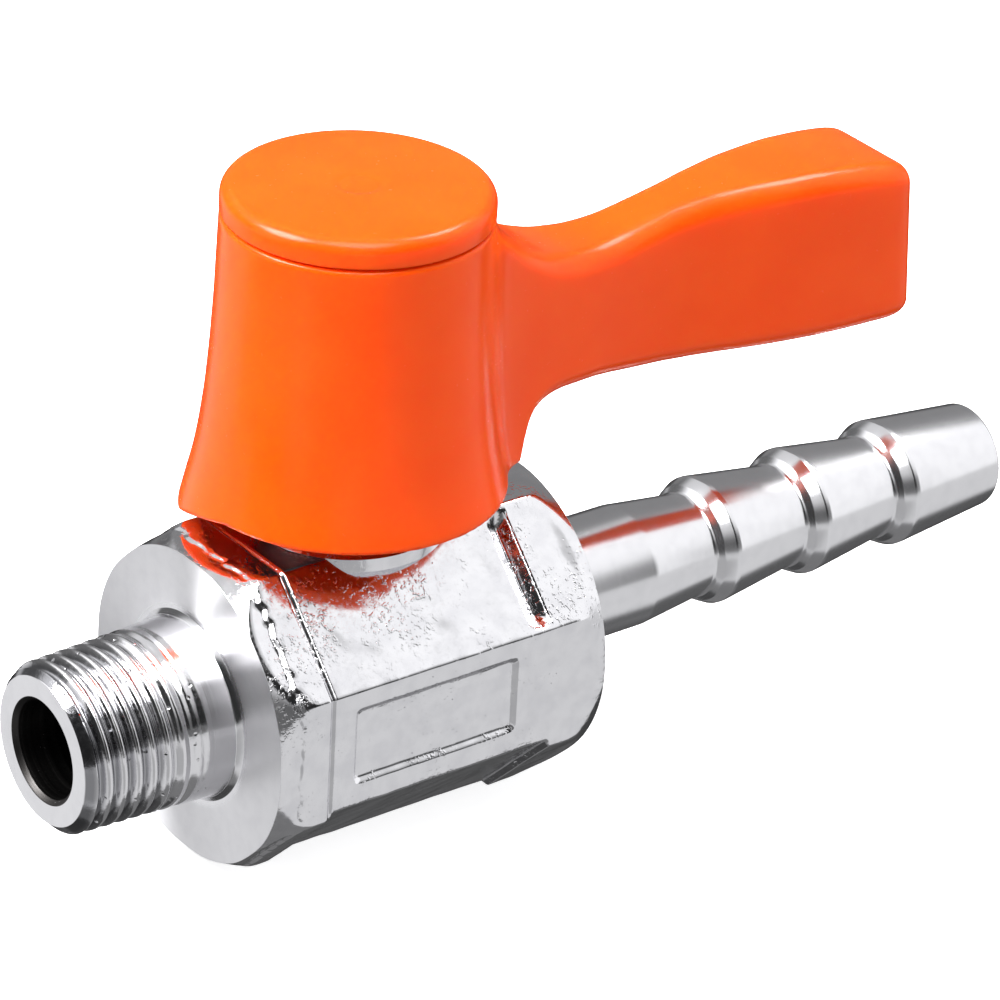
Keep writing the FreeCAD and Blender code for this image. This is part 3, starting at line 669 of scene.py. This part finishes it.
def surface_net(distance, low, high, step):
    """Quads over the zero surface of a distance function, then moved exactly onto it."""
    axes = [np.arange(low[axis] - step, high[axis] + 1.5 * step, step) for axis in range(3)]
    field = distance(*np.meshgrid(*axes, indexing="ij"))
    inside = field < 0
    cells = np.array(field.shape) - 1
    total = np.zeros((int(cells.prod()), 3))
    count = np.zeros(int(cells.prod()))
    quads = []
    for axis in range(3):
        others = [other for other in range(3) if other != axis]
        lower = [slice(1, -1)] * 3
        upper = [slice(1, -1)] * 3
        lower[axis], upper[axis] = slice(0, -1), slice(1, None)
        crossing = np.argwhere(inside[tuple(lower)] != inside[tuple(upper)])
        start = crossing + [0 if other == axis else 1 for other in range(3)]
        end = start.copy()
        end[:, axis] += 1
        before, after = field[tuple(start.T)], field[tuple(end.T)]
        point = start.astype(float)
        point[:, axis] += before / (before - after)
        corners = []
        for back in ((0, 0), (1, 0), (1, 1), (0, 1)):
            cell = start.copy()
            cell[:, others[0]] -= back[0]
            cell[:, others[1]] -= back[1]
            flat = np.ravel_multi_index(cell.T, cells)
            corners.append(flat)
            np.add.at(total, flat, point)
            np.add.at(count, flat, 1)
        quad = np.stack(corners, axis=1)
        flip = (before < 0) == (axis == 1)
        quad[flip] = quad[flip][:, ::-1]
        quads.append(quad)
    quads = np.concatenate(quads)
    used, quads = np.unique(quads, return_inverse=True)
    quads = quads.reshape(-1, 4)
    vertices = total[used] / count[used][:, None] * step + np.array([axis[0] for axis in axes])
    return settle_on(distance, vertices, step), quads


def gradient(distance, vertices, reach=0.01):
    slopes = []
    for axis in range(3):
        offset = np.zeros(3)
        offset[axis] = reach
        slopes.append(distance(*(vertices + offset).T) - distance(*(vertices - offset).T))
    return np.stack(slopes, axis=1) / (2 * reach)


def settle_on(distance, vertices, step):
    for _ in range(3):
        slope = gradient(distance, vertices)
        steepness = np.maximum((slope ** 2).sum(axis=1), 0.2)
        move = slope * (distance(*vertices.T) / steepness)[:, None]
        vertices = vertices - np.clip(move, -0.4 * step, 0.4 * step)
    return vertices


HANDLE_GRID = 0.2


def make_lever_handle():
    vertices, quads = surface_net(handle_distance, lever_low, lever_high, HANDLE_GRID)
    vertices = np.clip(vertices, lever_low, lever_high)
    piece = mesh_object("lever_handle_moulded", vertices, quads)
    piece.data.shade_smooth()
    normals = gradient(handle_distance, vertices, 0.03)
    normals /= np.linalg.norm(normals, axis=1)[:, None]
    piece.data.normals_split_custom_set_from_vertices(normals.tolist())
    return piece


def make_lever_cap():
    """The snap cap, with the round mark its mould's gate leaves in the middle."""
    seat = HUB_TOP + 0.03
    rim = RECESS_RADIUS - 0.03
    outline = [(cap_low[2] + 0.8, 0.0), (cap_low[2] + 0.8, 1.0)]
    inner = rim - 0.9
    outline = [(CAP_TOP - 1.0, 0.0), (CAP_TOP - 1.0, inner, 0.3), (cap_low[2], inner, 0.1), (cap_low[2], rim, 0.2),
               (seat, rim), (seat, CAP_RADIUS, 0.12), (CAP_TOP, CAP_RADIUS, 0.95), (CAP_TOP, 1.5, 0.0)]
    outline += [(CAP_TOP, 1.25, 0.0), (CAP_TOP - 0.05, 1.1, 0.0), (CAP_TOP - 0.05, 0.95, 0.0), (CAP_TOP - 0.02, 0.0)]
    path = rounded_path(outline)
    piece = ring_object("lever_cap_moulded", around_stem(path[:, 0], path[:, 1:2], even_angles(192)), closed=False)
    close_poles(piece)
    return piece


# ---- Materials ----

class Nodes:
    """Short ways to add nodes to a tree. A value is a number, a colour or another node's output."""

    def __init__(self, tree):
        self.tree = tree

    def add(self, kind, **settings):
        node = self.tree.nodes.new(kind)
        for name, value in settings.items():
            setattr(node, name, value)
        return node

    def feed(self, socket, value):
        if isinstance(value, bpy.types.NodeSocket):
            self.tree.links.new(value, socket)
        else:
            socket.default_value = value

    def math(self, operation, *values, clamp=False):
        node = self.add("ShaderNodeMath", operation=operation, use_clamp=clamp)
        for socket, value in zip(node.inputs, values):
            self.feed(socket, value)
        return node.outputs[0]

    def vector(self, operation, *values):
        node = self.add("ShaderNodeVectorMath", operation=operation)
        for socket, value in zip(node.inputs, values):
            self.feed(socket, value)
        return node.outputs["Value" if operation in ("DOT_PRODUCT", "LENGTH") else "Vector"]

    def scaled(self, vector, factor):
        node = self.add("ShaderNodeVectorMath", operation="SCALE")
        self.feed(node.inputs["Vector"], vector)
        node.inputs["Scale"].default_value = factor
        return node.outputs["Vector"]

    def split(self, vector):
        node = self.add("ShaderNodeSeparateXYZ")
        self.feed(node.inputs[0], vector)
        return node.outputs

    def join(self, x, y, z):
        node = self.add("ShaderNodeCombineXYZ")
        for socket, value in zip(node.inputs, (x, y, z)):
            self.feed(socket, value)
        return node.outputs[0]

    def noise(self, place, scale, detail=2.0, roughness=0.5):
        node = self.add("ShaderNodeTexNoise")
        self.feed(node.inputs["Vector"], place)
        node.inputs["Scale"].default_value = scale
        node.inputs["Detail"].default_value = detail
        node.inputs["Roughness"].default_value = roughness
        return node.outputs["Fac"]

    def cells(self, place, scale):
        """Distance to the nearest of scattered points."""
        node = self.add("ShaderNodeTexVoronoi")
        self.feed(node.inputs["Vector"], place)
        node.inputs["Scale"].default_value = scale
        return node.outputs["Distance"]

    def ease(self, value, low, high, start=0.0, end=1.0):
        """start below low, end above high, and a smooth step between them."""
        node = self.add("ShaderNodeMapRange", interpolation_type="SMOOTHSTEP")
        for socket, given in zip(node.inputs, (value, low, high, start, end)):
            self.feed(socket, given)
        return node.outputs[0]

    def mix(self, share, first, second):
        node = self.add("ShaderNodeMix", data_type="RGBA")
        self.feed(node.inputs["Factor"], share)
        self.feed(node.inputs["A"], first)
        self.feed(node.inputs["B"], second)
        return node.outputs["Result"]


class Finish(Nodes):
    """A surface finish under construction. Its place is in millimetres on the piece at rest."""

    def __init__(self, name, **constants):
        self.material = bpy.data.materials.new(name)
        self.material.use_nodes = True
        super().__init__(self.material.node_tree)
        self.shader = self.tree.nodes["Principled BSDF"]
        for socket, value in constants.items():
            self.shader.inputs[socket.replace("_", " ")].default_value = value
        self.place = self.scaled(self.add("ShaderNodeTexCoord").outputs["Object"], 1 / MM)
        self.relief = None

    def colour(self, value):
        self.feed(self.shader.inputs["Base Color"], value)

    def rough(self, value):
        self.feed(self.shader.inputs["Roughness"], value)

    def bump(self, height, depth_mm):
        """Adds relief whose height from 0 to 1 stands for depth_mm."""
        node = self.add("ShaderNodeBump")
        node.inputs["Strength"].default_value = 1.0
        node.inputs["Distance"].default_value = depth_mm * MM
        self.feed(node.inputs["Height"], height)
        if self.relief is not None:
            self.tree.links.new(self.relief, node.inputs["Normal"])
        self.relief = node.outputs["Normal"]
        self.feed(self.shader.inputs["Normal"], self.relief)

    def from_flow_axis(self):
        x, y, z = self.split(self.place)
        return self.math("SQRT", self.math("ADD", self.math("MULTIPLY", y, y), self.math("MULTIPLY", z, z)))


NICKEL = (0.84, 0.835, 0.855, 1)
NICKEL_SHADE = (0.76, 0.755, 0.78, 1)
# Painted shade for the thread's roots
NICKEL_ROOT_SHADE = (0.42, 0.42, 0.44, 1)
# Painted shade for the forging under the lever's skirt
NICKEL_UNDER_LEVER_SHADE = (0.16, 0.155, 0.16, 1)
# Painted shade for the forging's pits
PIT_SHADE = (0.10, 0.10, 0.12, 1)


def forged_nickel():
    """Bright plating over a forged and tumbled skin, with soft dents and small pits painted dark as shade in them;
    rougher under the lever, and painted darker there as shade.
    """
    finish = Finish("forged_nickel", Metallic=1.0)
    dents = finish.noise(finish.place, 0.8, 2.0, 0.5)
    grain = finish.noise(finish.place, 3.6, 2.0, 0.6)
    worn = finish.ease(finish.noise(finish.place, 0.35, 2.0), 0.40, 0.62)
    crackle = finish.math("MULTIPLY", finish.ease(grain, 0.50, 0.72), worn)
    pits = finish.ease(finish.cells(finish.place, 1.7), 0.0, 0.10, 1.0, 0.0)
    patches = finish.ease(finish.noise(finish.place, 0.55, 2.0), 0.52, 0.64)
    pits = finish.math("MULTIPLY", pits, patches)
    finish.bump(dents, 0.006)
    finish.bump(crackle, 0.014)
    finish.bump(finish.math("SUBTRACT", 1.0, pits), 0.05)
    tone = finish.mix(finish.ease(dents, 0.3, 0.75), NICKEL, NICKEL_SHADE)
    # Painted shade: the pits are coloured nearly black, as shade in them.
    tone = finish.mix(finish.math("MULTIPLY", pits, 0.7), tone, PIT_SHADE)
    # Painted shade: the forging under the lever's skirt is coloured dark, as if in its shadow; it is also made
    # rougher there.
    shade_and_rough_under_lever = finish.ease(finish.split(finish.place)[2], HALF_FLATS + 0.1, HALF_FLATS + 0.6)
    finish.colour(finish.mix(shade_and_rough_under_lever, tone, NICKEL_UNDER_LEVER_SHADE))
    polished = finish.ease(grain, 0.35, 0.75, 0.10, 0.20)
    finish.rough(finish.math("ADD", polished, finish.math("MULTIPLY", shade_and_rough_under_lever, 0.35)))
    return finish.material


def turned_nickel(name, lines_per_mm, depth_mm, roughness, neck_roughness, anisotropy):
    """Plating over lathe marks that run round the flow axis."""
    finish = Finish(name, Metallic=1.0, Anisotropic=anisotropy, Anisotropic_Rotation=0.25)
    tangent = finish.add("ShaderNodeTangent", direction_type="RADIAL", axis="X")
    finish.feed(finish.shader.inputs["Tangent"], tangent.outputs[0])
    x, y, z = finish.split(finish.place)
    across = finish.math("ADD", finish.from_flow_axis(), x)
    lines = finish.noise(finish.join(finish.math("MULTIPLY", across, lines_per_mm), 0.0, 0.0), 1.0, 3.0, 0.7)
    smear = finish.noise(finish.place, 1.1, 3.0)
    finish.bump(lines, depth_mm)
    finish.bump(smear, 0.0006)
    finish.colour(finish.mix(finish.ease(smear, 0.35, 0.8, 0.0, 0.5), NICKEL, NICKEL_SHADE))
    on_neck = finish.ease(finish.from_flow_axis(), NECK_RADIUS + 0.1, NECK_RADIUS + 0.9, neck_roughness, roughness)
    finish.rough(finish.math("ADD", on_neck, finish.ease(smear, 0.3, 0.7, -0.005, 0.01)))
    return finish.material


def threaded_nickel():
    """Bright thread with tool chatter along its turns, painted shade in its roots and small nicks on its crests."""
    finish = Finish("threaded_nickel", Metallic=1.0)
    radius = finish.from_flow_axis()
    root_shade = finish.ease(radius, GAUGE_RADIUS - THREAD_DEPTH, GAUGE_RADIUS - 0.25 * THREAD_DEPTH, 1.0, 0.0)
    x, y, z = finish.split(finish.place)
    turn = finish.math("DIVIDE", finish.math("ARCTAN2", z, y), 2 * math.pi)
    along = finish.math("SUBTRACT", x, finish.math("MULTIPLY", turn, THREAD_PITCH))
    chatter = finish.noise(finish.join(finish.math("MULTIPLY", along, 7.0), 0.0, 0.0), 1.0, 3.0, 0.7)
    wear = finish.noise(finish.place, 3.2, 3.0, 0.6)
    nicks = finish.ease(finish.cells(finish.place, 1.1), 0.0, 0.16, 1.0, 0.0)
    finish.bump(chatter, 0.004)
    finish.bump(wear, 0.006)
    finish.bump(finish.math("SUBTRACT", 1.0, nicks), 0.04)
    # Painted shade: the thread's roots are coloured darker grey, as shade in them.
    finish.colour(finish.mix(root_shade, NICKEL, NICKEL_ROOT_SHADE))
    finish.rough(finish.ease(wear, 0.3, 0.75, 0.08, 0.18))
    return finish.material


def shaded_bore_nickel():
    """The inside of the bores with reamer marks, coloured nearly black as painted shade."""
    finish = Finish("shaded_bore_nickel", Metallic=1.0, Anisotropic=0.5)
    x, y, z = finish.split(finish.place)
    marks = finish.noise(finish.join(finish.math("MULTIPLY", x, 3.0), 0.0, 0.0), 1.0, 2.0)
    specks = finish.ease(finish.cells(finish.place, 2.2), 0.0, 0.08, 1.0, 0.0)
    finish.bump(marks, 0.02)
    # Painted shade: the bore's colour is nearly black, as shade inside the holes.
    tone = finish.mix(marks, (0.035, 0.032, 0.032, 1), (0.06, 0.058, 0.056, 1))
    finish.colour(finish.mix(specks, tone, NICKEL_SHADE))
    finish.rough(finish.ease(marks, 0.3, 0.7, 0.30, 0.45))
    return finish.material


ORANGE = (0.88, 0.080, 0.003, 1)
ORANGE_DEEP = (0.86, 0.071, 0.002, 1)


def orange_plastic():
    """Glossy moulded plastic with faint flow marks, scuffs and a slightly uneven skin."""
    finish = Finish("orange_plastic", Subsurface_Weight=0.55, Subsurface_Scale=0.0015, Specular_IOR_Level=0.22)
    finish.shader.inputs["Subsurface Radius"].default_value = (1.0, 0.25, 0.08)
    flow = finish.noise(finish.place, 0.22, 2.0)
    skin = finish.noise(finish.place, 9.0, 2.0)
    scuffs = finish.ease(finish.noise(finish.place, 3.0, 4.0, 0.7), 0.62, 0.75)
    finish.bump(finish.noise(finish.place, 0.35, 1.0), 0.02)
    finish.bump(skin, 0.0015)
    finish.colour(finish.mix(finish.ease(flow, 0.3, 0.7), ORANGE, ORANGE_DEEP))
    finish.rough(finish.math("ADD", finish.ease(skin, 0.3, 0.7, 0.19, 0.23), finish.math("MULTIPLY", scuffs, 0.10)))
    return finish.material


def grained(name, light, dark, scale, rough_low, rough_high, depth_mm, **constants):
    """A plain material with its own fine grain, for the pieces inside."""
    finish = Finish(name, **constants)
    grain = finish.noise(finish.place, scale, 3.0, 0.6)
    patches = finish.noise(finish.place, scale / 8, 2.0)
    finish.bump(grain, depth_mm)
    finish.colour(finish.mix(finish.ease(patches, 0.3, 0.7), light, dark))
    finish.rough(finish.ease(grain, 0.3, 0.7, rough_low, rough_high))
    return finish.material


# ---- Stage, light and camera ----

def direction(azimuth, elevation):
    """A unit vector; azimuth 0 is +X and 90 is +Y."""
    around, up = math.radians(azimuth), math.radians(elevation)
    return (math.cos(around) * math.cos(up), math.sin(around) * math.cos(up), math.sin(up))


FLOOR_LIGHT, HORIZON_LIGHT, CEILING_LIGHT = 0.72, 0.14, 0.75
SCREENS = [
    # azimuth and half width, lower and upper elevation, softness (degrees), brightness
    (-22, 27, -6, 75, 5, 1.15),     # light tent, right
    (-79, 20.0, 6, 70, 1.6, 0.02),  # dark gap beside the camera
    (45, 32, -5, 44, 8, 0.25),      # grey behind
    (41, 45, -75, -3, 4, 0.055),    # the valve's own shade
    (28, 60, -58, -42, 6, 0.10),    # the same, wider close below
    (0, 200, -100, -55, 6, 0.20),   # straight below
    (125, 50, -100, -58, 8, 0.06),  # the same, under the left side
    (150, 40, 25, 60, 12, 1.3),     # light tent, left
    (128, 40, -45, -12, 10, 0.85),  # bright table, left
    (94, 15, -38, -27, 5, 0.20),    # something dark behind it
    (172, 14, -22, -4, 4, 0.04),    # foot of the wall, left
    (150, 14, -25, -19, 2, 0.04),   # and its shadow on the table
    (161, 13, -4, 30, 4, 1.1),      # a gap in the wall, left
    (-160, 24, -12, 42, 6, 0.03),   # dark wall behind the camera
    (-130, 30, -50, -14, 8, 0.45),  # table in the camera's shade
    (-130, 30, 48, 80, 10, 1.6),    # light above the camera
]


def studio_world():
    """A soft studio: pale table and ceiling, a darker horizon, and broad light and dark screens."""
    world = bpy.data.worlds.new("studio")
    world.use_nodes = True
    nodes = Nodes(world.node_tree)
    background = world.node_tree.nodes["Background"]
    look = nodes.vector("NORMALIZE", nodes.add("ShaderNodeTexCoord").outputs["Generated"])
    x, y, z = nodes.split(look)
    height = nodes.math("DEGREES", nodes.math("ARCSINE", z))
    level = nodes.ease(height, -6.0, -1.0, FLOOR_LIGHT, HORIZON_LIGHT)
    level = nodes.math("ADD", level, nodes.ease(height, 14.0, 36.0, 0.0, CEILING_LIGHT - HORIZON_LIGHT))
    for azimuth, half_width, low, high, soft, brightness in SCREENS:
        ahead = nodes.vector("DOT_PRODUCT", look, direction(azimuth, 0))
        aside = nodes.vector("DOT_PRODUCT", look, direction(azimuth + 90, 0))
        turned = nodes.math("DEGREES", nodes.math("ABSOLUTE", nodes.math("ARCTAN2", aside, ahead)))
        here = nodes.ease(turned, half_width - soft / 2, half_width + soft / 2, 1.0, 0.0)
        here = nodes.math("MULTIPLY", here, nodes.ease(height, low - soft / 2, low + soft / 2))
        here = nodes.math("MULTIPLY", here, nodes.ease(height, high - soft / 2, high + soft / 2, 1.0, 0.0))
        change = nodes.math("MULTIPLY", nodes.math("SUBTRACT", brightness, level), here)
        level = nodes.math("ADD", level, change)
    background.inputs["Color"].default_value = (0.985, 0.99, 1.0, 1)
    nodes.feed(background.inputs["Strength"], level)
    bpy.context.scene.world = world


def floor():
    """A plain pale floor that the valve stands on."""
    half = 3000.0
    corners = np.array([(-half, -half, 0), (half, -half, 0), (half, half, 0), (-half, half, 0)])
    corners += np.array([STEM_X, 0, FLOOR_LEVEL - 0.02])
    piece = mesh_object("floor", corners, np.array([[0, 1, 2, 3]]))
    finish = Finish("pale_floor", Emission_Strength=0.7)
    finish.shader.inputs["Emission Color"].default_value = (1, 1, 1, 1)
    speckle = finish.noise(finish.place, 0.15, 2.0)
    finish.colour(finish.mix(speckle, (0.86, 0.86, 0.86, 1), (0.90, 0.90, 0.90, 1)))
    finish.rough(0.6)
    piece.data.materials.append(finish.material)
    piece.visible_glossy = False
    piece.visible_diffuse = False
    piece.visible_shadow = False


def soft_light(name, azimuth, elevation, distance, size, power):
    """A square area light that faces the middle of the valve."""
    light = bpy.data.lights.new(name, "AREA")
    light.shape = "DISK"
    light.size = size * MM
    light.energy = power
    lamp = bpy.data.objects.new(name, light)
    middle = Vector((scene_low + scene_high) / 2 * MM)
    away = Vector(direction(azimuth, elevation))
    lamp.location = middle + away * distance * MM
    lamp.rotation_mode = "QUATERNION"
    lamp.rotation_quaternion = away.to_track_quat("Z", "Y")
    bpy.context.scene.collection.objects.link(lamp)
    return lamp


CAMERA_AZIMUTH = 51.85      # of the line of sight, from +X towards +Y
CAMERA_ELEVATION = 28.29
CAMERA_ROLL = 3.22
CAMERA_DISTANCE = 300.0
CAMERA_AIM = (-2.47, 0.09, -3.09)   # from the middle of the CAD box
LENS = 195.9
SENSOR = 36.0


def camera():
    data = bpy.data.cameras.new("camera")
    data.lens = LENS
    data.sensor_width = SENSOR
    data.clip_start, data.clip_end = 0.01, 20
    eye = bpy.data.objects.new("camera", data)
    bpy.context.scene.collection.objects.link(eye)
    forward = Vector(direction(CAMERA_AZIMUTH, -CAMERA_ELEVATION))
    level_right = forward.cross(Vector((0, 0, 1))).normalized()
    level_up = level_right.cross(forward)
    roll = math.radians(CAMERA_ROLL)
    right = level_right * math.cos(roll) + level_up * math.sin(roll)
    up = level_up * math.cos(roll) - level_right * math.sin(roll)
    aim = Vector(((scene_low + scene_high) / 2 + CAMERA_AIM) * MM)
    place = aim - forward * CAMERA_DISTANCE * MM
    turn = Matrix((right, up, -forward)).transposed()
    eye.matrix_world = Matrix.Translation(place) @ turn.to_4x4()
    bpy.context.scene.camera = eye


# ---- The valve ----

def dress_inner_nodes():
    """Materials for the CAD nodes that keep their own shape."""
    steel = grained("zinc_steel", (0.60, 0.60, 0.56, 1), (0.68, 0.67, 0.60, 1), 6.0, 0.25, 0.4, 0.01, Metallic=1.0)
    brass = grained("bare_brass", (0.74, 0.55, 0.26, 1), (0.66, 0.47, 0.20, 1), 5.0, 0.2, 0.32, 0.01, Metallic=1.0)
    chrome = grained("polished_ball", (0.86, 0.86, 0.88, 1), (0.80, 0.80, 0.83, 1), 4.0, 0.04, 0.09, 0.002, Metallic=1.0)
    rubber = grained("seal_rubber", (0.020, 0.020, 0.022, 1), (0.032, 0.032, 0.034, 1), 8.0, 0.5, 0.65, 0.01)
    plastic = grained("seat_plastic", (0.86, 0.86, 0.83, 1), (0.80, 0.80, 0.76, 1), 3.0, 0.35, 0.5, 0.01,
                      Subsurface_Weight=0.1, Subsurface_Scale=0.001)
    wearing = {
        "ball": chrome, "stem": brass, "handle_screw": steel, "screw_lock_washer": steel,
        "stem_o_ring_lower": rubber, "stem_o_ring_upper": rubber, "end_joint_o_ring": rubber,
        "seat_ring_inlet": plastic, "seat_ring_outlet": plastic, "stem_thrust_washer": plastic,
    }
    for node, material in wearing.items():
        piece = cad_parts[node]
        piece.data.materials.clear()
        piece.data.materials.append(material)


forged, threaded, bore_shade, orange = forged_nickel(), threaded_nickel(), shaded_bore_nickel(), orange_plastic()
turned = turned_nickel("turned_nickel", 5.0, 0.0045, 0.36, 0.11, 0.9)
finish_piece(make_valve_body(), "body", ["valve_body"], [forged, turned, threaded, bore_shade])
hose_turned = turned_nickel("turned_hose_end", 3.0, 0.0015, 0.22, 0.2, 0.3)
finish_piece(make_hose_end(), "body", ["hose_end"], [hose_turned, bore_shade])
finish_piece(make_lever_handle(), "lever", ["lever_handle"], [orange], sharp_degrees=None)
finish_piece(make_lever_cap(), "lever", ["lever_cap"], [orange])
dress_inner_nodes()

floor()
studio_world()
soft_light("key", 160, 45, 400, 230, 3.3)
soft_light("overhead", -125, 68, 450, 300, 1.4)
soft_light("window", 10, 58, 450, 160, 0.9)
for name, azimuth, elevation, power in (("fill_right", -70, 8, 0.4), ("fill_left", 175, 12, 0.35),
                                        ("table_glow", -150, -35, 0.25)):
    soft_light(name, azimuth, elevation, 450, 200, power).visible_glossy = False
camera()
bpy.context.scene.view_settings.view_transform = "Standard"
